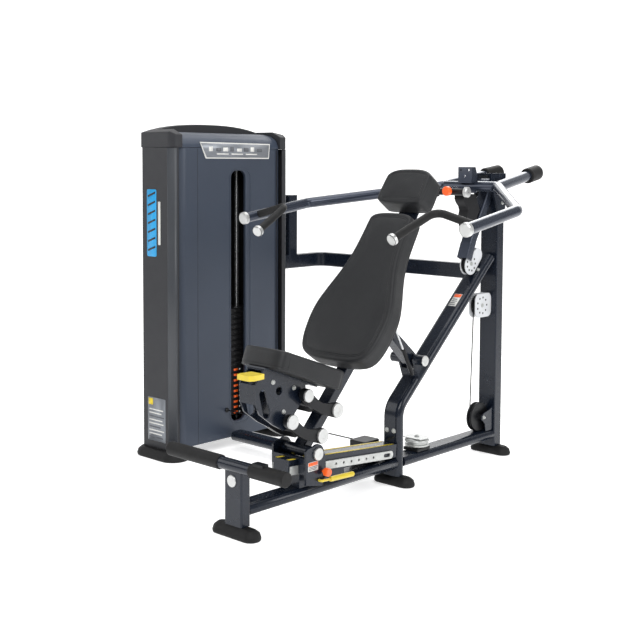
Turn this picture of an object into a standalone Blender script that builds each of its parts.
# Chest / shoulder multi press station with a side weight stack tower.
# Units: metres, +Z up.  The user sits facing -Y, the tower stands at -X.
# Built about the middle plane of the seat frame (X = 0), then shifted so
# that the origin is at the bottom centre of the bounding box.
import bpy
import bmesh
import math
from math import sin, cos, pi, radians
from mathutils import Vector, Matrix

for o in list(bpy.data.objects):
    bpy.data.objects.remove(o, do_unlink=True)

# ------------------------------------------------------------ dimensions
OFF = Vector((0.3175, -0.0631, 0.0))   # frame centre -> bounding box centre
GAP = 0.0004                            # clearance between touching pieces

TUBE_W, TUBE_T = 0.100, 0.050           # flat oval frame tube
RAIL_Z0, RAIL_Z1 = 0.080, 0.130         # base rail underside and top
Y_FRONT, Y_BACK = -0.935, 0.882         # outer faces of front and rear posts
TRACK_ANGLE = radians(5.0)              # slope of the seat track
TOWER_X0, TOWER_X1 = -1.270, -1.018     # weight tower, far and near faces
TOWER_Y0, TOWER_Y1 = -0.390, 0.410      # weight tower, front and rear
TOWER_Z = 1.552                         # top of the panels, under the cap
P_ARM = Vector((0, 0.800, 1.370))       # press arm pivot
P_CARR = Vector((0, -0.552, 0.278))     # backrest frame pivot on carriage
P_SUP = Vector((0, 0.180, 0.570))       # support link pivot on post
P_TOP = Vector((0, -0.070, 0.790))      # support link pin on the backrest
P_GAS = Vector((0, 0.165, 0.475))       # gas spring lower eye
P_GAS2 = Vector((0, -0.020, 0.800))     # gas spring upper eye
C1 = Vector((0, -0.598, 0.527))         # parallel links, seat side
C3 = Vector((0, -0.690, 0.433))
C2 = Vector((0, -0.420, 0.438))         # parallel links, frame side
C4 = Vector((0, -0.512, 0.344))
PLATE_PITCH = 0.0285                    # weight plate pitch
STACK_Z0, N_PLATES, N_LIFTED = 0.145, 20, 8
STACK_C = Vector((-1.155, 0.045, 0))    # weight stack centre
BACK_TILT = radians(34.2)               # backrest from vertical
SEAT_TILT = radians(20.7)               # seat, front end up

# -------------------------------------------------------------- materials
def mat(name, rgb, rough=0.5, metal=0.0):
    m = bpy.data.materials.new(name)
    m.use_nodes = True
    b = m.node_tree.nodes["Principled BSDF"]
    b.inputs["Base Color"].default_value = tuple((c / 255.0) ** 2.2 for c in rgb) + (1,)
    b.inputs["Roughness"].default_value = rough
    b.inputs["Metallic"].default_value = metal
    return m

FRAME = mat("frame_paint", (40, 48, 60), 0.35, 0.2)
ARM = mat("arm_paint", (92, 100, 116), 0.3, 0.4)
SHROUD = mat("shroud_paint", (70, 80, 95), 0.5)
CHARCOAL = mat("charcoal_plastic", (48, 50, 53), 0.6)
BLACK = mat("black_plastic", (24, 24, 26), 0.5)
RUBBER = mat("black_rubber", (20, 20, 20), 0.8)
VINYL = mat("pad_vinyl", (56, 57, 60), 0.6)
STEEL = mat("bright_steel", (200, 200, 196), 0.3, 0.9)
ALU = mat("brushed_aluminium", (216, 216, 210), 0.35, 0.8)
ZINC = mat("zinc_plate", (176, 177, 172), 0.45, 0.6)
IRON = mat("stack_iron", (22, 22, 24), 0.55, 0.2)
WHITE = mat("white_cover", (225, 226, 226), 0.5)
YELLOW = mat("yellow_plastic", (224, 204, 70), 0.45)
ORANGE = mat("orange_plastic", (255, 105, 30), 0.45)

# ---------------------------------------------------------------- helpers
def V(x, y, z):
    return Vector((x, y, z))

def obj_from_bm(name, bm, material, origin=None, smooth=35):
    """World-space bmesh -> object whose origin is at `origin`."""
    o = Vector(origin) if origin is not None else Vector((0, 0, 0))
    bmesh.ops.recalc_face_normals(bm, faces=bm.faces)
    bmesh.ops.translate(bm, verts=bm.verts, vec=-o)
    me = bpy.data.meshes.new(name)
    bm.to_mesh(me)
    bm.free()
    ob = bpy.data.objects.new(name, me)
    bpy.context.scene.collection.objects.link(ob)
    ob.location = o + OFF
    me.materials.append(material)
    me.shade_smooth()
    me.set_sharp_from_angle(angle=radians(smooth))
    return ob

def add_prism(bm, pts, fn, a, b):
    """Extrude the 2D outline pts from a to b; fn(u, v, w) -> point."""
    lo = [bm.verts.new(fn(u, v, a)) for u, v in pts]
    hi = [bm.verts.new(fn(u, v, b)) for u, v in pts]
    n = len(pts)
    bm.faces.new(lo)
    bm.faces.new(list(reversed(hi)))
    for i in range(n):
        j = (i + 1) % n
        bm.faces.new((lo[j], lo[i], hi[i], hi[j]))

YZ = lambda u, v, w: Vector((w, u, v))      # outline in Y-Z, extruded in X
XZ = lambda u, v, w: Vector((u, w, v))      # outline in X-Z, extruded in Y
XY = lambda u, v, w: Vector((u, v, w))      # outline in X-Y, extruded in Z

def rect(u0, v0, u1, v1, r=0.0, n=3):
    """Rectangle outline with rounded corners."""
    if r <= 0:
        return [(u0, v0), (u1, v0), (u1, v1), (u0, v1)]
    out = []
    for cx, cy, a in ((u1 - r, v0 + r, -90), (u1 - r, v1 - r, 0),
                      (u0 + r, v1 - r, 90), (u0 + r, v0 + r, 180)):
        for i in range(n + 1):
            t = radians(a + 90.0 * i / n)
            out.append((cx + r * cos(t), cy + r * sin(t)))
    return out

def circle(cx, cy, r, n=20):
    return [(cx + r * cos(2 * pi * i / n), cy + r * sin(2 * pi * i / n)) for i in range(n)]

def capsule(p, q, r0, r1=None, n=8, sag=0.0, steps=6, waist=0.0):
    """Outline of a rounded link from p to q, bowed sideways by sag and drawn in by waist."""
    r1 = r0 if r1 is None else r1
    p, q = Vector(p), Vector(q)
    d = (q - p).normalized()
    nrm = Vector((-d.y, d.x))
    a0 = math.atan2(nrm.y, nrm.x)
    out = []
    for i in range(n + 1):                       # round end at p
        t = a0 + pi * i / n
        out.append((p.x + r0 * cos(t), p.y + r0 * sin(t)))
    for i in range(1, steps):                    # edge p -> q (minus side)
        f = i / steps
        c = p.lerp(q, f) - nrm * (r0 + (r1 - r0) * f + (sag - waist) * sin(pi * f))
        out.append((c.x, c.y))
    for i in range(n + 1):                       # round end at q
        t = a0 + pi + pi * i / n
        out.append((q.x + r1 * cos(t), q.y + r1 * sin(t)))
    for i in range(1, steps):
        f = 1 - i / steps
        c = p.lerp(q, f) + nrm * (r0 + (r1 - r0) * f - (sag + waist) * sin(pi * f))
        out.append((c.x, c.y))
    return out

def prism(name, pts, fn, a, b, material, origin=None):
    bm = bmesh.new()
    add_prism(bm, pts, fn, a, b)
    return obj_from_bm(name, bm, material, origin)

def box(name, lo, hi, material, origin=None, r=0.0):
    bm = bmesh.new()
    if r > 0:
        add_prism(bm, rect(lo[0], lo[1], hi[0], hi[1], r), XY, lo[2], hi[2])
    else:
        add_prism(bm, rect(lo[0], lo[1], hi[0], hi[1]), XY, lo[2], hi[2])
    return obj_from_bm(name, bm, material, origin)

def fillet(path, rad, n=5):
    """Round the corners of a polyline with arcs of radius rad."""
    pts = [Vector(p) for p in path]
    out = [pts[0]]
    for i in range(1, len(pts) - 1):
        a, b, c = pts[i - 1], pts[i], pts[i + 1]
        u, w = (a - b).normalized(), (c - b).normalized()
        ang = u.angle(w)
        if ang > pi - 0.02:
            out.append(b)
            continue
        t = min(rad / math.tan(ang / 2), 0.45 * (a - b).length, 0.45 * (c - b).length)
        r = t * math.tan(ang / 2)
        cen = b + (u + w).normalized() * (r / sin(ang / 2))
        s, e = (b + u * t) - cen, (b + w * t) - cen
        tot = s.angle(e)
        ax = s.cross(e).normalized()
        for k in range(n + 1):
            out.append(cen + Matrix.Rotation(tot * k / n, 3, ax) @ s)
    out.append(pts[-1])
    return out

def stadium(w, t, n=6):
    """Flat oval section, w wide, t thick."""
    r, h = t / 2, (w - t) / 2
    out = []
    for cx, a in ((h, -90), (-h, 90)):
        for i in range(n + 1):
            k = radians(a + 180.0 * i / n)
            out.append((cx + r * cos(k), r * sin(k)))
    return out

def ring(r, n=16):
    return [(r * cos(2 * pi * i / n), r * sin(2 * pi * i / n)) for i in range(n)]

def add_sweep(bm, path, section, up=Vector((1, 0, 0))):
    """Sweep a section along a path; section u axis starts along `up`."""
    pts = [Vector(p) for p in path]
    n = len(pts)
    tans = []
    for i in range(n):
        if i == 0:
            t = pts[1] - pts[0]
        elif i == n - 1:
            t = pts[-1] - pts[-2]
        else:
            t = (pts[i + 1] - pts[i]).normalized() + (pts[i] - pts[i - 1]).normalized()
        tans.append(t.normalized())
    u = (up - tans[0] * up.dot(tans[0])).normalized()
    rings = []
    for i in range(n):
        if i:
            q = tans[i - 1].rotation_difference(tans[i])
            u = q @ u
            u = (u - tans[i] * u.dot(tans[i])).normalized()
        v = tans[i].cross(u)
        k = 1.0
        rings.append([bm.verts.new(pts[i] + u * a * k + v * b * k) for a, b in section])
    m = len(section)
    for i in range(n - 1):
        for j in range(m):
            k = (j + 1) % m
            bm.faces.new((rings[i][j], rings[i][k], rings[i + 1][k], rings[i + 1][j]))
    bm.faces.new(list(reversed(rings[0])))
    bm.faces.new(rings[-1])

def sweep(name, path, section, material, origin=None, up=Vector((1, 0, 0))):
    bm = bmesh.new()
    add_sweep(bm, path, section, up)
    return obj_from_bm(name, bm, material, origin)

def add_turn(bm, base, axis, prof, n=20):
    """Solid of revolution: prof = [(distance along axis, radius), ...]."""
    ax = Vector(axis).normalized()
    u = ax.orthogonal().normalized()
    if abs(ax.x) > 0.9:
        u = Vector((0, 0, 1))
    u = (u - ax * u.dot(ax)).normalized()
    v = ax.cross(u)
    base = Vector(base)
    rows = []
    for d, r in prof:
        rows.append([bm.verts.new(base + ax * d + (u * cos(2 * pi * i / n) + v * sin(2 * pi * i / n)) * r)
                     for i in range(n)])
    for a, b in zip(rows, rows[1:]):
        for i in range(n):
            j = (i + 1) % n
            bm.faces.new((a[i], a[j], b[j], b[i]))
    bm.faces.new(list(reversed(rows[0])))
    bm.faces.new(rows[-1])

def turn(name, base, axis, prof, material, origin=None, n=20):
    bm = bmesh.new()
    add_turn(bm, base, axis, prof, n)
    return obj_from_bm(name, bm, material, origin)

def cut_or_join(ob, others, op):
    """Apply exact booleans and keep the result as a plain mesh."""
    for other in others:
        md = ob.modifiers.new("bool", "BOOLEAN")
        md.operation = op
        md.solver = "EXACT"
        md.object = other
    bpy.context.view_layer.update()
    dg = bpy.context.evaluated_depsgraph_get()
    me = bpy.data.meshes.new_from_object(ob.evaluated_get(dg))
    ob.modifiers.clear()
    keep = [m for m in ob.data.materials][:1]
    ob.data = me
    me.materials.clear()
    me.materials.append(keep[0])
    bm = bmesh.new()
    bm.from_mesh(me)
    for f in bm.faces:
        f.material_index = 0
    bmesh.ops.dissolve_degenerate(bm, edges=bm.edges, dist=1e-6)
    bm.to_mesh(me)
    bm.free()
    me.shade_smooth()
    me.set_sharp_from_angle(angle=radians(35))
    for other in others:
        bpy.data.objects.remove(other, do_unlink=True)
    return ob

def union(ob, *others):
    return cut_or_join(ob, others, "UNION")

def cut(ob, *others):
    return cut_or_join(ob, others, "DIFFERENCE")

def xcyl(p, r, x0, x1, n=20, name="tool"):
    """Cylinder along X through point p, from x0 to x1."""
    return turn(name, V(x0, p[1], p[2]), (1, 0, 0), [(0, r), (x1 - x0, r)], FRAME, None, n)

def pin(name, p, half, r, disc_r, origin=None, extra=0.0):
    """Through pin along X with a domed disc at each end."""
    prof = [(-half - 0.009, disc_r * 0.80), (-half - 0.006, disc_r), (-half, disc_r),
            (-half, r), (half, r), (half, disc_r), (half + 0.006, disc_r), (half + 0.009, disc_r * 0.80)]
    return turn(name, V(0, p[1], p[2]), (1, 0, 0), prof, ALU, origin if origin is not None else p, 20)

def track(s, off=0.0, x=0.0):
    """Point on the seat track: s metres rearward of the backrest pivot foot."""
    return V(x, P_CARR.y + s * cos(TRACK_ANGLE) + off * sin(TRACK_ANGLE),
             0.221 - s * sin(TRACK_ANGLE) + off * cos(TRACK_ANGLE))

# ============================================================ BASE FRAME
OVAL = stadium(TUBE_W, TUBE_T)
sweep("base_rail", [V(0, Y_FRONT + 0.050 + GAP, 0.105), V(0, 0.045 - GAP, 0.105)], OVAL, FRAME, V(0, -0.4, 0.105))

def rect_post(name, y0, y1, z0, z1, r=0.008):
    return prism(name, rect(-0.05, y0, 0.05, y1, r), XY, z0, z1, FRAME, V(0, (y0 + y1) / 2, z0))

rect_post("front_post", Y_FRONT, Y_FRONT + 0.050, 0.044 + GAP, 0.268)
rect_post("rear_post", 0.822, Y_BACK, 0.044 + GAP, 1.325, 0.006)
union(bpy.data.objects["rear_post"], sweep("tool", [V(0, 0.095 + GAP, 0.105), V(0, 0.830, 0.105)], OVAL, FRAME, None))

# middle post: bent flat oval tube, upright then leaning back to the rear post
mid_path = fillet([V(0, 0.070, 0.044 + GAP), V(0, 0.070, 0.355), V(0, 0.7965, 1.010)], 0.10, 5)
ob = sweep("mid_post", mid_path, OVAL, FRAME, V(0, 0.070, 0.05))
ob = cut(ob, box("tool", (-0.2, 0.822 - GAP, 0.5), (0.2, 1.2, 1.5), FRAME))

def foot(name, cy, half_x=0.118, half_y=0.052, h=0.044, cx=0.0):
    """Moulded rubber foot: stadium plan, sloping sides."""
    bm = bmesh.new()
    rows = []
    for z, k in ((0.0, 0.0), (0.012, 0.002), (0.030, -0.004), (h, -0.022)):
        pts = stadium(2 * (half_x + k), 2 * (half_y + k), 7)
        rows.append([bm.verts.new((cx + a, cy + b, z)) for a, b in pts])
    m = len(rows[0])
    for a, b in zip(rows, rows[1:]):
        for i in range(m):
            j = (i + 1) % m
            bm.faces.new((a[i], a[j], b[j], b[i]))
    bm.faces.new(list(reversed(rows[0])))
    bm.faces.new(rows[-1])
    return obj_from_bm(name, bm, RUBBER, V(cx, cy, 0))

foot("front_foot", -0.914, 0.122, 0.040, 0.044)
foot("rear_foot", 0.862, 0.112, 0.040, 0.044)
foot("mid_foot", 0.078, 0.108, 0.040, 0.044)

# footrest: round bar across the top of the front post, two rubber sleeves
FR = V(0, -0.930, 0.286)
union(bpy.data.objects["front_post"], turn("tool", V(-0.375, FR.y, FR.z), (1, 0, 0), [(0, 0.0250), (0.660, 0.0250)], FRAME, None, 20))
for nm, x0, x1 in (("footrest_sleeve_right", -0.385, -0.070), ("footrest_sleeve_left", 0.105, 0.295)):
    d = x1 - x0
    end = 1 if nm.endswith("left") else 0
    t = 0.0095
    outer = [(0, 0.0275), (0.004, 0.0300), (d - 0.004, 0.0300), (d, 0.0275)]
    o1 = turn(nm, V(x0, FR.y, FR.z), (1, 0, 0), outer, RUBBER, FR, 20)
    if end:
        cutter = turn("tool", V(x0 - 0.01, FR.y, FR.z), (1, 0, 0), [(0, 0.0254), (0.285 + GAP - x0 + 0.01, 0.0254)], RUBBER, None, 20)
    else:
        cutter = turn("tool", V(-0.375 - GAP, FR.y, FR.z), (1, 0, 0), [(0, 0.0254), (x1 + 0.375 + 0.01, 0.0254)], RUBBER, None, 20)
    cut(o1, cutter)

# seat track: steel channel from the middle post to a stand on the rail
def track_quad(s0, s1, z0, z1):
    a, b, c, d = track(s0, z0), track(s1, z0), track(s1, z1), track(s0, z1)
    return [(p.y, p.z) for p in (a, b, c, d)]

ob = prism("track_beam", track_quad(-0.115, 0.590, -0.030, 0.030), YZ, -0.0445, 0.0445, FRAME, track(0))
stand = prism("tool", [(-0.600, RAIL_Z1 + GAP), (-0.320, RAIL_Z1 + GAP), (-0.320, 0.190), (-0.600, 0.200)], YZ, -0.0425, 0.0425, FRAME)
union(ob, stand)
ob = bpy.data.objects["track_beam"]
cut(ob, box("tool", (-0.2, 0.045 - GAP, 0.0), (0.2, 0.3, 0.5), FRAME))
for nm, sgn in (("track_rail_left", 1), ("track_rail_right", -1)):
    x0, x1 = sgn * (0.0445 + GAP), sgn * 0.0535
    pts = [track(-0.110, -0.030)] + [track(0.540 + 0.018 * sin(radians(a)), -0.012 - 0.018 * cos(radians(a))) for a in range(0, 181, 20)] + [track(-0.110, 0.006)]
    ob = prism(nm, [(p.y, p.z) for p in pts], YZ, min(x0, x1), max(x0, x1), ZINC, track(0))
    p, q = track(0.500, -0.012), track(0.530, -0.012)
    tools = [prism("tool", capsule((p.y, p.z), (q.y, q.z), 0.008), YZ, -0.07, 0.07, ZINC)]
    tools += [xcyl(track(0.170 + 0.050 * k, -0.012), 0.0055, -0.07, 0.07, 10) for k in range(6)]
    cut(ob, *tools)

# cross tube from the tower foot frame to the base rail
sweep("cross_tube", [V(-0.990, 0.010, 0.069), V(-0.0505, 0.010, 0.069)], stadium(0.092, 0.050), FRAME,
      V(-0.5, 0.01, 0.069), up=Vector((0, 1, 0)))
# upper beam: along X from the sloping post, bent forward into the tower's rear panel
ub = fillet([V(-0.0505, 0.716, 0.942), V(-1.062, 0.716, 0.942), V(-1.062, TOWER_Y1 + 0.001, 0.942)], 0.07, 4)
sweep("upper_beam", ub, rect(-0.025, -0.038, 0.025, 0.038, 0.008, 2), FRAME, V(-0.6, 0.716, 0.942), up=Vector((0, 1, 0)))
union(bpy.data.objects["upper_beam"], prism("tool", rect(-1.086, 0.436, -1.034, 0.500, 0.008), XY, 0.930, 1.305, FRAME))

# inverted U bracket on top of the rear post that carries the arm pivot
prof = [(0.745, 1.395), (0.765, 1.345), (0.830, 1.200), (0.876, 1.200), (0.876, 1.432), (0.745, 1.432)]
ob = prism("tool_mount", prof, YZ, -0.060, 0.060, FRAME, P_ARM)
ob = cut(ob, prism("tool", rect(0.70, 1.10, 0.95, 1.424), YZ, -0.0495, 0.0495, FRAME), prism("tool", rect(0.70, 1.40, 0.822, 1.50), YZ, -0.0495, 0.0495, FRAME))
ob = union(bpy.data.objects["rear_post"], ob)
cut(ob, prism("tool", rect(0.70, 1.3255, 0.95, 1.424), YZ, -0.0495, 0.0495, FRAME), xcyl(P_ARM, 0.0124, -0.08, 0.08))

# ============================================================ PULLEYS
def pulley(name, c, axis, R, w, material, bore=0.0062, n=24):
    """Grooved wheel with a bore."""
    ax = Vector(axis)
    ob = turn(name, Vector(c) - ax * (w / 2), axis,
              [(0, R * 0.97), (0.001, R), (w * 0.30, R), (w * 0.42, R - 0.008), (w * 0.58, R - 0.008),
               (w * 0.70, R), (w - 0.001, R), (w, R * 0.97)], material, c, n)
    tool = turn("tool", Vector(c) - ax * w, axis, [(0, bore), (2 * w, bore)], material, None, 12)
    return cut(ob, tool)

RP = V(0.0, 0.738, 0.205)                       # rear pulley, at the post foot
turn("rear_pulley", RP - V(0.034, 0, 0), (1, 0, 0),
     [(0, 0.010), (0.002, 0.012), (0.019, 0.012), (0.019, 0.070), (0.020, 0.072), (0.028, 0.072), (0.031, 0.064), (0.037, 0.064),
      (0.040, 0.072), (0.048, 0.072), (0.049, 0.070), (0.049, 0.012), (0.066, 0.012), (0.068, 0.010)], BLACK, RP, 24)
PP = V(0.0, 0.742, 0.770)                       # post pulley, in front of the rear post
pulley("post_pulley", PP, (1, 0, 0), 0.052, 0.024, BLACK)
# white guard plates of the post pulley: two cheeks joined at the post, with the pin
ob = prism("post_pulley_guard", rect(PP.y - 0.058, PP.z - 0.060, 0.822 - GAP, PP.z + 0.060, 0.030, 4), YZ, -0.0200, 0.0200, WHITE, PP)
ob = cut(ob, prism("tool", rect(PP.y - 0.10, PP.z - 0.10, PP.y + 0.0565, PP.z + 0.10), YZ, -0.0150, 0.0150, WHITE))
ob = union(ob, xcyl(PP, 0.0058, -0.018, 0.018, 12))
# flat pulley on the rail, turning about a vertical pin
FP = V(0.0, 0.245, 0.1645)
turn("flat_pulley", V(0, FP.y, RAIL_Z1 + GAP), (0, 0, 1),
     [(0, 0.015), (0.020, 0.015), (0.020, 0.056), (0.021, 0.058), (0.028, 0.058), (0.031, 0.050), (0.037, 0.050),
      (0.040, 0.058), (0.046, 0.058), (0.050, 0.056), (0.056, 0.046)], ZINC, FP, 24)
# closed cover over the pulley beside the track
box("cable_cover", (-0.150, -0.070, 0.0945), (-0.0565, 0.040, 0.208), BLACK, V(-0.10, -0.02, 0.0945), 0.010)

# ============================================================ TOWER
box("tower_base", (TOWER_X0 + 0.045, TOWER_Y0 + 0.090, 0.044 + GAP), (TOWER_X1 - 0.042, TOWER_Y1 - 0.070, 0.110), FRAME, V(-1.14, 0, 0.05), 0.01)
foot("tower_foot_front", -0.362, 0.160, 0.075, 0.044, -1.140)
foot("tower_foot_rear", 0.372, 0.160, 0.070, 0.044, -1.140)

def end_panel(name, y0, y1):
    """Moulded end panel of the tower: shell with chamfered near edge."""
    s = 1 if y1 > y0 else -1
    d = abs(y1 - y0)
    outer = [(TOWER_X0, 0.0), (TOWER_X0, d - 0.012), (TOWER_X0 + 0.012, d), (TOWER_X1 - 0.050, d), (TOWER_X1 - 0.042, d - 0.002),
             (TOWER_X1 - 0.010, d - 0.014), (TOWER_X1 - 0.003, d - 0.019), (TOWER_X1, d - 0.026), (TOWER_X1, 0.0)]
    inner = [(TOWER_X1 - 0.005, 0.0), (TOWER_X1 - 0.005, d - 0.024), (TOWER_X1 - 0.012, d - 0.0195), (TOWER_X1 - 0.044, d - 0.007),
             (TOWER_X1 - 0.050, d - 0.005), (TOWER_X0 + 0.013, d - 0.005), (TOWER_X0 + 0.005, d - 0.013), (TOWER_X0 + 0.005, 0.0)]
    pts = [(x, y0 + s * y) for x, y in outer + inner]
    return prism(name, pts, XY, 0.0445, TOWER_Z, CHARCOAL, V(-1.135, (y0 + y1) / 2, 0.05))

end_panel("end_panel_front", -0.354, TOWER_Y0)
end_panel("end_panel_rear", 0.362, TOWER_Y1)

def shroud(name, x_face, sgn, slot):
    """Bent sheet panel, front edge turned in, with the weight window."""
    t = 0.006
    f = x_face
    out = []
    for i in range(0, 7):
        a = radians(18.0 + 72.0 * i / 6)
        out.append((f - sgn * 0.052 + sgn * 0.052 * sin(a), -0.298 - 0.052 * cos(a)))
    out += [(f, 0.300), (f - sgn * 0.012, 0.356)]
    inn = []
    for x, y in reversed(out):
        inn.append((x - sgn * t, y + (t if y < -0.31 else 0.0)))
    ob = prism(name, out + inn, XY, 0.052, TOWER_Z, SHROUD, V(f, 0, 0.05))
    if slot:
        y0, y1, z0, z1 = 0.000, 0.112, 0.130, 1.440
        cutter = prism("tool", rect(y0, z0, y1, z1, 0.040, 5), YZ, f - 0.05, f + 0.05, SHROUD)
        ob = cut(ob, cutter)
    return ob

shroud("shroud_left", -1.030, 1, True)
shroud("shroud_right", -1.252, -1, False)

# cap: arched tray frame with end blocks, and a domed cover inside it
def arch(y0, y1, zb, zs, zt, n=14):
    pts = [(y0, zb), (y1, zb), (y1, zs)]
    for i in range(1, n):
        f = 1 - i / n
        y = y0 + (y1 - y0) * f
        pts.append((y, zs + (zt - zs) * (1 - abs(2 * f - 1) ** 2.6)))
    pts.append((y0, zs))
    return pts

ob = prism("top_cap", arch(TOWER_Y0, TOWER_Y1, TOWER_Z + GAP, 1.628, 1.676), YZ, TOWER_X0, TOWER_X1, CHARCOAL, V(-1.135, 0.01, 1.56))
hollow = prism("tool", rect(TOWER_Y0 + 0.062, 1.50, TOWER_Y1 - 0.062, 1.80, 0.02, 2), YZ, TOWER_X0 + 0.062, -0.9, CHARCOAL)
slope = prism("tool", [(-1.215, 1.70), (-0.99, 1.604), (-0.99, 1.80), (-1.215, 1.80)], XZ, -0.6, 0.6, CHARCOAL)
corner_f = prism("tool", [(TOWER_X1 - 0.046, TOWER_Y0 - 0.001), (TOWER_X1 - 0.005, TOWER_Y0 + 0.018), (TOWER_X1 + 0.001, TOWER_Y0 + 0.028), (-0.9, TOWER_Y0 + 0.028), (-0.9, -0.5), (TOWER_X1 - 0.046, -0.5)], XY, 1.4, 1.8, CHARCOAL)
corner_r = prism("tool", [(TOWER_X1 - 0.046, TOWER_Y1 + 0.001), (TOWER_X1 - 0.046, 0.6), (-0.9, 0.6), (-0.9, TOWER_Y1 - 0.028), (TOWER_X1 + 0.001, TOWER_Y1 - 0.028), (TOWER_X1 - 0.005, TOWER_Y1 - 0.018)], XY, 1.4, 1.8, CHARCOAL)
ob = cut(ob, hollow, slope, corner_f, corner_r)
# domed inner cover with the slanted board for the instruction plate
prof = [(-1.207, TOWER_Z + GAP), (-1.030, TOWER_Z + GAP), (-1.033, 1.570), (-1.048, 1.598), (-1.080, 1.618), (-1.130, 1.630), (-1.207, 1.634)]
prism("top_cover", prof, XZ, TOWER_Y0 + 0.0625, TOWER_Y1 - 0.0625, SHROUD, V(-1.12, 0.01, 1.56))

# guide rods, stack and pin
for nm, dy in (("guide_rod_front", -0.110), ("guide_rod_rear", 0.110)):
    turn(nm, V(STACK_C.x, STACK_C.y + dy, 0.1105), (0, 0, 1), [(0, 0.0125), (TOWER_Z - 0.1115, 0.0125)], STEEL, V(STACK_C.x, STACK_C.y + dy, 0.11), 16)

def stack(name, z0, n, stem):
    """A pile of weight plates: grooved block with two guide bores."""
    hx, hy, g = 0.062, 0.170, 0.0035
    bm = bmesh.new()
    prof = []
    for i in range(n):
        zb = z0 + i * PLATE_PITCH
        prof += [(hx - g, zb), (hx, zb + 0.002), (hx, zb + PLATE_PITCH - 0.004), (hx - g, zb + PLATE_PITCH - 0.002)]
    prof[0] = (hx - g, z0)
    prof[-1] = (hx - g, z0 + n * PLATE_PITCH - 0.001)
    out = [(STACK_C.x + x, z) for x, z in prof] + [(STACK_C.x - x, z) for x, z in reversed(prof)]
    add_prism(bm, out, XZ, STACK_C.y - hy, STACK_C.y + hy)
    ob = obj_from_bm(name, bm, IRON, V(STACK_C.x, STACK_C.y, z0))
    tools = []
    for dy in (-0.110, 0.110):
        tools.append(turn("tool", V(STACK_C.x, STACK_C.y + dy, z0 - 0.05), (0, 0, 1), [(0, 0.0137), (1.0, 0.0137)], IRON, None, 16))
    ob = cut(ob, *tools)
    return ob

lift_z = STACK_Z0 + (N_PLATES - N_LIFTED) * PLATE_PITCH
ob = stack("stack_resting", STACK_Z0, N_PLATES - N_LIFTED, False)
cut(ob, turn("tool", V(STACK_C.x, STACK_C.y, 0.1), (0, 0, 1), [(0, 0.0145), (1.0, 0.0145)], IRON, None, 12))
ob = stack("stack_lifted", lift_z + 0.0004, N_LIFTED, True)
top_z = lift_z + N_LIFTED * PLATE_PITCH
stem = turn("tool", V(STACK_C.x, STACK_C.y, 0.165), (0, 0, 1), [(0, 0.012), (top_z + 0.060 - 0.165, 0.012)], IRON, None, 12)
ob = union(ob, stem)
pin_z = lift_z + 0.5 * PLATE_PITCH
cut(ob, xcyl(V(0, STACK_C.y, pin_z), 0.0056, STACK_C.x - 0.03, STACK_C.x + 0.08, 10))
turn("selector_pin", V(STACK_C.x - 0.010, STACK_C.y, pin_z), (1, 0, 0),
     [(0, 0.0048), (0.0726, 0.0048), (0.0726, 0.012), (0.078, 0.016), (0.092, 0.016), (0.098, 0.010)], BLACK, V(STACK_C.x + 0.075, STACK_C.y, pin_z), 12)
TP = V(STACK_C.x, 0.0885, 1.470)                  # top pulley in the tower
turn("tower_pulley", V(TOWER_X0 + 0.0345, TP.y, TP.z), (1, 0, 0),
     [(0, 0.0058), (0.0685, 0.0058), (0.0685, 0.052), (0.0755, 0.052), (0.0785, 0.044), (0.0825, 0.044),
      (0.0855, 0.052), (0.0925, 0.052), (0.0925, 0.0058), (0.175, 0.0058)], BLACK, TP, 24)

# ============================================================ PRESS ARM
N3, N2, N1 = V(0.635, -0.265, 1.219), V(0.609, 0.128, 1.2810), V(0.165, 0.650, 1.368)
mir = lambda p: V(-p.x, p.y, p.z)
AR = 0.0250
main = fillet([N3, N2, N1, mir(N1), mir(N2), mir(N3)], 0.055, 5)
arm = sweep("arm_frame", main, ring(AR, 16), ARM, P_ARM, up=Vector((0, 0, 1)))
parts = []
for s in (1, -1):
    a, b = V(s * N1.x, N1.y, N1.z), V(s * 0.117, 1.062, 1.4340)
    parts.append(sweep("tool", [a, b], ring(0.0262, 16), ARM, None, up=Vector((0, 0, 1))))
parts.append(xcyl(P_ARM, 0.036, -0.042, 0.042, 20))
parts.append(box("tool", (-0.029, N1.y, 1.352), (0.029, P_ARM.y, 1.392), ARM))
parts.append(sweep("tool", [V(0, 0.800, 1.345), V(0, 0.655, 1.112), V(0, 0.612, 1.010)], rect(-0.030, -0.024, 0.030, 0.024, 0.006, 2), ARM, None))
parts.append(box("tool", (-0.034, 0.515, 1.336), (0.034, 0.660, 1.366), ARM))
# perforated plate upright on the cross tube
ob = prism("tool", [(0.607, 1.384), (0.655, 1.384), (0.655, 1.425), (0.640, 1.463), (0.607, 1.463)], YZ, -0.040, 0.040, FRAME)
ob = cut(ob, prism("tool", [(0.613, 1.30), (0.70, 1.30), (0.70, 1.457), (0.613, 1.457)], YZ, -0.034, 0.034, FRAME))
tools = [turn("tool", V(x, 0.58, z), (0, 1, 0), [(0, 0.0055), (0.05, 0.0055)], FRAME, None, 10) for x, z in ((-0.024, 1.448), (0.022, 1.448), (0.000, 1.418))]
parts.append(cut(ob, *tools))
# caps on the open ends of the outer tubes
for s in (1, -1):
    d = (N3 - N2).normalized()
    parts.append(turn("tool", V(s * N3.x, N3.y, N3.z) - V(s * d.x, d.y, d.z) * 0.004, V(s * d.x, d.y, d.z),
                      [(0, 0.0265), (0.003, 0.0290), (0.022, 0.0290), (0.025, 0.024)], ARM, None, 16))
arm = union(arm, *parts)
# clevis slot for the lever pulley, pivot bore
LP = V(0.0, 0.648, 0.985)
arm = cut(arm, box("tool", (-0.0170, 0.40, 0.90), (0.0170, 0.80, 1.074), ARM), xcyl(P_ARM, 0.0124, -0.08, 0.08))
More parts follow.
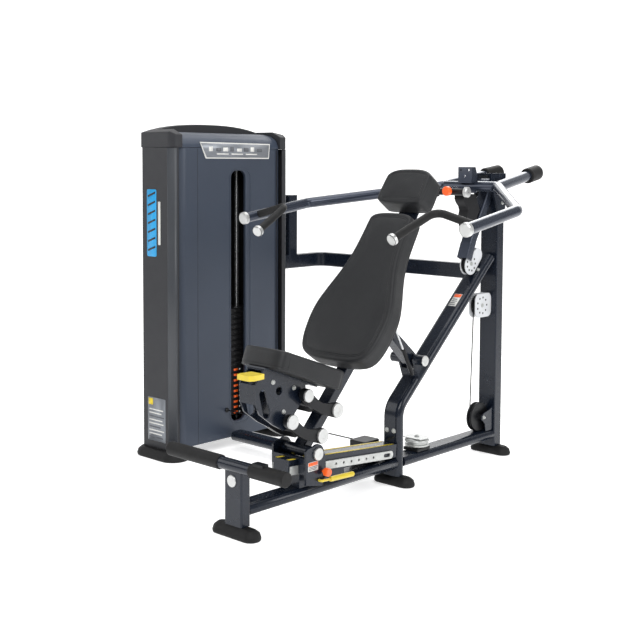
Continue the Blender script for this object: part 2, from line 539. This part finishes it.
# pivot pin with end discs
turn("pivot_pin", V(-0.077, P_ARM.y, P_ARM.z), (1, 0, 0),
     [(0, 0.018), (0.003, 0.024), (0.0125, 0.024), (0.0125, 0.012), (0.1415, 0.012), (0.1415, 0.024), (0.151, 0.024), (0.154, 0.018)], ALU, P_ARM, 20)
# start position housing: black tube with bright end caps under the cross tube
SH = V(0, 0.498, 1.343)
turn("start_housing", V(-0.100, SH.y, SH.z), (1, 0, 0),
     [(0, 0.018), (0.003, 0.0250), (0.018, 0.0250), (0.018, 0.0165), (0.182, 0.0165), (0.182, 0.0250), (0.197, 0.0250), (0.200, 0.018)], BLACK, SH, 20)
# limit plate: curved black plate under the housing, bolted to the lever
prof = [(0.562, 1.330), (0.560, 1.306), (0.574, 1.286), (0.592, 1.270), (0.600, 1.250), (0.592, 1.222), (0.590, 1.195), (0.604, 1.170),
        (0.620, 1.150), (0.640, 1.160), (0.662, 1.190), (0.700, 1.255), (0.660, 1.330)]
lim = prism("limit_plate", prof, YZ, -0.0280, 0.0280, BLACK, V(0, 0.58, 1.25))
cut(lim, sweep("tool", [V(0, 0.815, 1.369), V(0, 0.655, 1.112), V(0, 0.612, 1.010)], rect(-0.04, -0.0248, 0.04, 0.0248), ARM, None))
# orange pop pin in front of the housing
ob = turn("start_pin", V(0.006, SH.y - 0.0172, SH.z + 0.004), (0, -1, 0),
     [(0, 0.006), (0.014, 0.006), (0.014, 0.019), (0.019, 0.023), (0.036, 0.023), (0.041, 0.019)], ORANGE, V(0.006, SH.y - 0.03, SH.z + 0.004), 16)
# grips: bent bars under rubber, from the outer tube inwards and forward
for nm, s in (("grip_left", 1), ("grip_right", -1)):
    base = V(s * 0.6305, -0.200, 1.2305)
    bend = V(s * 0.429, -0.198, 1.282)
    tip = V(s * 0.387, -0.418, 1.178)
    st = base
    path = fillet([st, bend, tip], 0.050, 6)
    gr = sweep(nm, path, ring(0.0170, 14), RUBBER, st, up=Vector((0, 0, 1)))
    d = (tip - bend).normalized()
    cut(gr, sweep("tool", main, ring(AR + 0.0006, 16), ARM, None, up=Vector((0, 0, 1))))
    union(gr, turn("tool", tip - d * 0.003, d, [(0, 0.0225), (0.003, 0.0245), (0.019, 0.0245), (0.022, 0.020)], RUBBER, None, 16))
for nm, s in (("counterweight_left", 1), ("counterweight_right", -1)):
    a, b = V(s * N1.x, N1.y, N1.z), V(s * 0.117, 1.062, 1.4340)
    d = (b - a).normalized()
    ob = turn(nm, b - d * 0.100, d, [(0, 0.034), (0.004, 0.0385), (0.110, 0.0385), (0.118, 0.034)], RUBBER, b, 20)
    cut(ob, turn("tool", b - d * 0.2, d, [(0, 0.0266), (0.2 + 0.0004, 0.0266)], RUBBER, None, 16))
# lever pulley with white cheeks
pulley("lever_pulley", LP, (1, 0, 0), 0.050, 0.020, BLACK)
cheek = capsule((LP.y - 0.002, LP.z - 0.006), (LP.y + 0.056, LP.z + 0.040), 0.048, 0.036)
ob = prism("lever_pulley_guard", cheek, YZ, -0.0162, 0.0162, WHITE, LP)
ob = cut(ob, prism("tool", rect(0.40, 0.80, LP.y + 0.056, 1.10), YZ, -0.0120, 0.0120, WHITE),
         prism("tool", rect(LP.y + 0.05, LP.z - 0.1, LP.y + 0.2, LP.z + 0.02), YZ, -0.0120, 0.0120, WHITE))
ob = union(ob, xcyl(LP, 0.0058, -0.014, 0.014, 12))

# ============================================================ BENCH
# carriage: saddle over the track with two ears for the backrest pivot
ear = [(P_CARR.y + 0.040 * cos(radians(a)), P_CARR.z + 0.040 * sin(radians(a))) for a in range(0, 121, 15)]
prof = [(-0.619, 0.157), (-0.522, 0.138), (-0.499, 0.186), (-0.502, 0.262)] + ear + [(-0.612, 0.306), (-0.620, 0.298)]
ob = prism("carriage", prof, YZ, -0.1000, 0.1000, FRAME, P_CARR)
inner = prism("tool", [(p.y, p.z) for p in (track(-0.2, -0.2), track(0.2, -0.2), track(0.2, 0.0315), track(-0.2, 0.0315))], YZ, -0.0560, 0.0560, FRAME)
ob = cut(ob, inner, prism("tool", [(p.y, p.z) for p in (track(-0.2, 0.0385), track(0.2, 0.0385), track(0.2, 0.30), track(-0.2, 0.30))], YZ, -0.0900, 0.0900, FRAME),
         prism("tool", rect(P_CARR.y - 0.034, P_CARR.z - 0.0265, P_CARR.y + 0.034, P_CARR.z + 0.1), YZ, -0.0900, 0.0900, FRAME),
         prism("tool", [(p.y, p.z) for p in (track(-0.2, -0.2), track(0.2, -0.2), track(0.2, -0.028), track(-0.2, -0.028))], YZ, -0.0900, 0.0900, FRAME),
         xcyl(P_CARR, 0.0124, -0.12, 0.12))
pin("carriage_pin", P_CARR, 0.1005, 0.0120, 0.025)
# release handle on the left of the carriage
lv0, lv1 = V(0.118, -0.545, 0.166), V(0.118, -0.352, 0.157)
ob = sweep("carriage_lever", fillet([V(0.1004, lv0.y, lv0.z), lv0, lv1], 0.012, 4), ring(0.0055, 8), YELLOW, V(0.1004, lv0.y, lv0.z), up=Vector((0, 0, 1)))
ld = (lv1 - lv0).normalized()
union(ob, turn("tool", lv0 + ld * 0.050, ld, [(0, 0.0085), (0.004, 0.0110), (0.144, 0.0110), (0.148, 0.0085)], YELLOW, None, 12))
KN = V(0.1004, -0.520, 0.200)
turn("carriage_knob", KN, (1, 0, 0), [(0, 0.006), (0.012, 0.006), (0.012, 0.014), (0.016, 0.0175), (0.034, 0.0175), (0.039, 0.014)], ORANGE, KN + V(0.012, 0, 0), 16)

# backrest frame: square tube from the carriage pivot up behind the pad
u_b = V(0, sin(BACK_TILT), cos(BACK_TILT))
n_b = V(0, cos(BACK_TILT), -sin(BACK_TILT))            # towards the rear
BF = V(0, -0.326, 0.709)                               # front face of the pad, low
def bp(s, t, x=0.0):
    return BF + u_b * s + n_b * t + V(x, 0, 0)
kink = bp(-0.045, 0.085 + 0.008 + 0.030)
bf = sweep("backrest_frame", fillet([P_CARR - (kink - P_CARR).normalized() * 0.0, kink, bp(0.700, 0.123)], 0.06, 3),
           rect(-0.030, -0.0225, 0.030, 0.0225, 0.006, 2), FRAME, P_CARR)
la, lb = bp(0.215, 0.127), bp(0.235, 0.127)
lug = prism("tool", capsule((la.y, la.z), (P_TOP.y, P_TOP.z), 0.022, 0.022), YZ, -0.014, 0.014, FRAME)
lugg = prism("tool", capsule((lb.y, lb.z), (P_GAS2.y, P_GAS2.z + 0.002), 0.018, 0.013), YZ, 0.0280, 0.0380, FRAME)
boss = xcyl(P_CARR, 0.025, -0.0890, 0.0890, 20)
board = prism("tool", [(p.y, p.z) for p in (bp(0.03, 0.0855), bp(0.52, 0.0855), bp(0.52, 0.102), bp(0.03, 0.102))], YZ, -0.085, 0.085, FRAME)
board2 = prism("tool", [(p.y, p.z) for p in (bp(0.840, 0.1085), bp(0.600, 0.1085), bp(0.600, 0.1015), bp(0.840, 0.1015))], YZ, -0.055, 0.055, FRAME)
bf = union(bf, lug, lugg, boss, board, board2)
bf = cut(bf, xcyl(P_CARR, 0.0124, -0.12, 0.12), xcyl(P_TOP, 0.0140, -0.1, 0.1), xcyl(C2, 0.0104, -0.1, 0.1), xcyl(C4, 0.0104, -0.1, 0.1))

# pads: plain closed solids of the outer shape
def pad(name, outline, fn, th, inset, origin):
    """Crowned pad: outline (x, s) on the sitting face, th thick."""
    bm = bmesh.new()
    rows = []
    def shrink(pts, d):
        c = Vector((sum(p[0] for p in pts) / len(pts), sum(p[1] for p in pts) / len(pts)))
        out = []
        for p in pts:
            v = Vector(p) - c
            out.append(tuple(c + v * max(0.0, 1 - d / v.length)))
        return out
    for t, d in ((0.0, inset), (0.004, inset * 0.45), (0.012, 0.0), (th - 0.004, 0.0), (th, 0.004)):
        rows.append([bm.verts.new(fn(x, s, t)) for x, s in shrink(outline, d)])
    m = len(outline)
    for a, b in zip(rows, rows[1:]):
        for i in range(m):
            j = (i + 1) % m
            bm.faces.new((a[i], a[j], b[j], b[i]))
    bm.faces.new(list(reversed(rows[0])))
    bm.faces.new(rows[-1])
    return obj_from_bm(name, bm, VINYL, origin)

# half outline of the backrest: (half width, distance up the face)
HALF = [(0.06, -0.086), (0.125, -0.079), (0.168, -0.064), (0.195, -0.036), (0.212, 0.010), (0.221, 0.070), (0.223, 0.130), (0.216, 0.185),
        (0.196, 0.250), (0.170, 0.320), (0.149, 0.385), (0.134, 0.460), (0.127, 0.540), (0.123, 0.612), (0.118, 0.640), (0.098, 0.655), (0.050, 0.664)]
outl = [(x, s) for x, s in HALF] + [(-x, s) for x, s in reversed(HALF)]
pad("back_pad", outl, lambda x, s, t: bp(s, t, x), 0.085 - 0.0004, 0.012, bp(0.3, 0.04))
HH = [(0.050, 0.720), (0.102, 0.723), (0.122, 0.731), (0.131, 0.752), (0.128, 0.850), (0.120, 0.875), (0.095, 0.892), (0.048, 0.902)]
outl = [(x, s) for x, s in HH] + [(-x, s) for x, s in reversed(HH)]
pad("head_pad", outl, lambda x, s, t: bp(s, t - 0.002, x), 0.103, 0.012, bp(0.75, 0.04))

# seat: frame, pad and lever; the frame swings on two pairs of parallel links
u_s = V(0, cos(SEAT_TILT), -sin(SEAT_TILT))             # rearward along the seat
n_s = V(0, -sin(SEAT_TILT), -cos(SEAT_TILT))            # down through the seat
SF = V(0, -0.835, 0.751)                                # top face, front end
def sp(s, t, x=0.0):
    return SF + u_s * s + n_s * t + V(x, 0, 0)
HS = [(0.050, 0.064), (0.088, 0.068), (0.112, 0.080), (0.122, 0.108), (0.140, 0.250), (0.150, 0.380), (0.146, 0.412), (0.120, 0.428)]
outl = [(x, s) for x, s in HS] + [(-x, s) for x, s in reversed(HS)]
pad("seat_pad", outl, lambda x, s, t: sp(s, t - 0.012, x), 0.082, 0.010, sp(0.2, 0.03))
plate_pts = [sp(0.058, 0.077), sp(0.330, 0.077), V(0, -0.570, 0.560), V(0, -0.566, 0.515), V(0, -0.600, 0.487),
             V(0, -0.655, 0.430), V(0, -0.668, 0.398), V(0, -0.700, 0.392), V(0, -0.760, 0.425), V(0, -0.835, 0.480), V(0, -0.852, 0.520), V(0, -0.856, 0.600)]
sb = prism("seat_frame", [(p.y, p.z) for p in plate_pts], YZ, -0.0480, 0.0480, FRAME, C1)
sb = cut(sb, prism("tool", [(p.y, p.z) for p in (sp(-0.1, 0.084), sp(0.5, 0.084), sp(0.5, 0.60), sp(-0.1, 0.60))], YZ, -0.0400, 0.0400, FRAME))
sb = union(sb, prism("tool", [(p.y, p.z) for p in (sp(0.055, 0.0705), sp(0.380, 0.0705), sp(0.380, 0.0780), sp(0.055, 0.0780))], YZ, -0.055, 0.055, FRAME),
           prism("tool", [(-0.8555, 0.600), (-0.8515, 0.520), (-0.843, 0.518), (-0.847, 0.600)], YZ, -0.0450, 0.0450, FRAME))
slot = prism("tool", capsule((-0.818, 0.560), (-0.795, 0.478), 0.018, 0.020), YZ, -0.1, 0.1, FRAME)
sb = cut(sb, slot, xcyl(V(0, -0.725, 0.560), 0.018, -0.1, 0.1), xcyl(C1, 0.0104, -0.1, 0.1), xcyl(C3, 0.0104, -0.1, 0.1))
# lever under the front of the seat
lv = sweep("seat_lever", [V(0.0484, -0.835, 0.640), V(0.068, -0.855, 0.641), V(0.072, -0.905, 0.646)], rect(-0.012, -0.005, 0.012, 0.005, 0.002, 2), YELLOW, V(0.0484, -0.835, 0.640), up=Vector((0.7, 0.7, 0)))
pd = prism("tool", [(0.042, -0.950), (0.108, -0.950), (0.120, -0.930), (0.114, -0.872), (0.040, -0.872), (0.034, -0.930)], XY, 0.637, 0.658, YELLOW)
union(lv, pd)

def link(name, a, b):
    """Pair of bowed link plates joined by a cross web."""
    pl = capsule((b.y, b.z), (a.y, a.z), 0.033, 0.028, 8, -0.021, 6, 0.009)
    ob = prism(name, pl, YZ, 0.0640, 0.0880, BLACK, b)
    far = prism("tool", pl, YZ, -0.0880, -0.0640, BLACK)
    m = (a + b) / 2
    ob = union(ob, xcyl(V(0, m.y - 0.007, m.z - 0.015), 0.0105, -0.07, 0.07, 12), far)
    return union(ob, pin("tool", a, 0.0880, 0.0100, 0.0255), pin("tool", b, 0.0880, 0.0100, 0.0300))

link("link_upper", C1, C2)
link("link_lower", C3, C4)

# support link from a bracket on the middle post up to the backrest frame
nd = V(0, -sin(radians(42)), cos(radians(42)))          # out of the sloping post
foot_p = P_SUP - nd * 0.093
prof = [foot_p + V(0, -0.045, -0.040), foot_p + V(0, 0.045, 0.0405)]
arc = [P_SUP + V(0, 0.026 * cos(radians(a)), 0.026 * sin(radians(a))) for a in range(-20, 181, 20)]
pts = [(prof[0].y, prof[0].z), (prof[1].y, prof[1].z)] + [(p.y, p.z) for p in arc]
ob = prism("tool_bracket", pts, YZ, -0.0480, 0.0480, FRAME, P_SUP)
ob = cut(ob, prism("tool", rect(P_SUP.y - 0.15, P_SUP.z - 0.045, P_SUP.y + 0.15, P_SUP.z + 0.10), YZ, -0.0370, 0.0370, FRAME))
ob = union(bpy.data.objects["mid_post"], ob)
cut(ob, xcyl(P_SUP, 0.0104, -0.1, 0.1))
sl = prism("support_link", capsule((P_SUP.y, P_SUP.z), (P_TOP.y, P_TOP.z), 0.028, 0.0175), YZ, -0.0270, 0.0270, FRAME, P_SUP)
fork = prism("tool", capsule((P_TOP.y + 0.075, P_TOP.z - 0.064), (P_TOP.y - 0.06, P_TOP.z + 0.052), 0.040, 0.040), YZ, -0.0165, 0.0165, FRAME)
sl = cut(sl, fork)
union(sl, xcyl(P_TOP, 0.0080, -0.020, 0.020, 12), pin("tool", P_SUP, 0.0485, 0.0100, 0.0240), xcyl(P_SUP, 0.0235, 0.0485, 0.0920, 20), xcyl(P_SUP, 0.0235, -0.0920, -0.0485, 20))

# gas spring beside the link: cylinder on the post, rod to the backrest frame
gd = (P_GAS2 - P_GAS).normalized()
gx = 0.0465
GL = (P_GAS2 - P_GAS).length
turn("gas_cylinder", V(gx, P_GAS.y, P_GAS.z) + gd * 0.034, gd, [(0, 0.0060), (0.004, 0.0080), (0.012, 0.0100), (0.141, 0.0100), (0.146, 0.008)], BLACK, V(gx, P_GAS.y, P_GAS.z), 16)
cut(bpy.data.objects["gas_cylinder"], turn("tool", V(gx, P_GAS.y, P_GAS.z) + gd * 0.046, gd, [(0, 0.0052), (0.3, 0.0052)], BLACK, None, 10))
turn("gas_rod", V(gx, P_GAS.y, P_GAS.z) + gd * 0.060, gd, [(0, 0.0046), (GL - 0.070, 0.0046), (GL - 0.068, 0.0075), (GL - 0.050, 0.0075)], STEEL, V(gx, P_GAS.y, P_GAS.z) + gd * 0.2, 12)
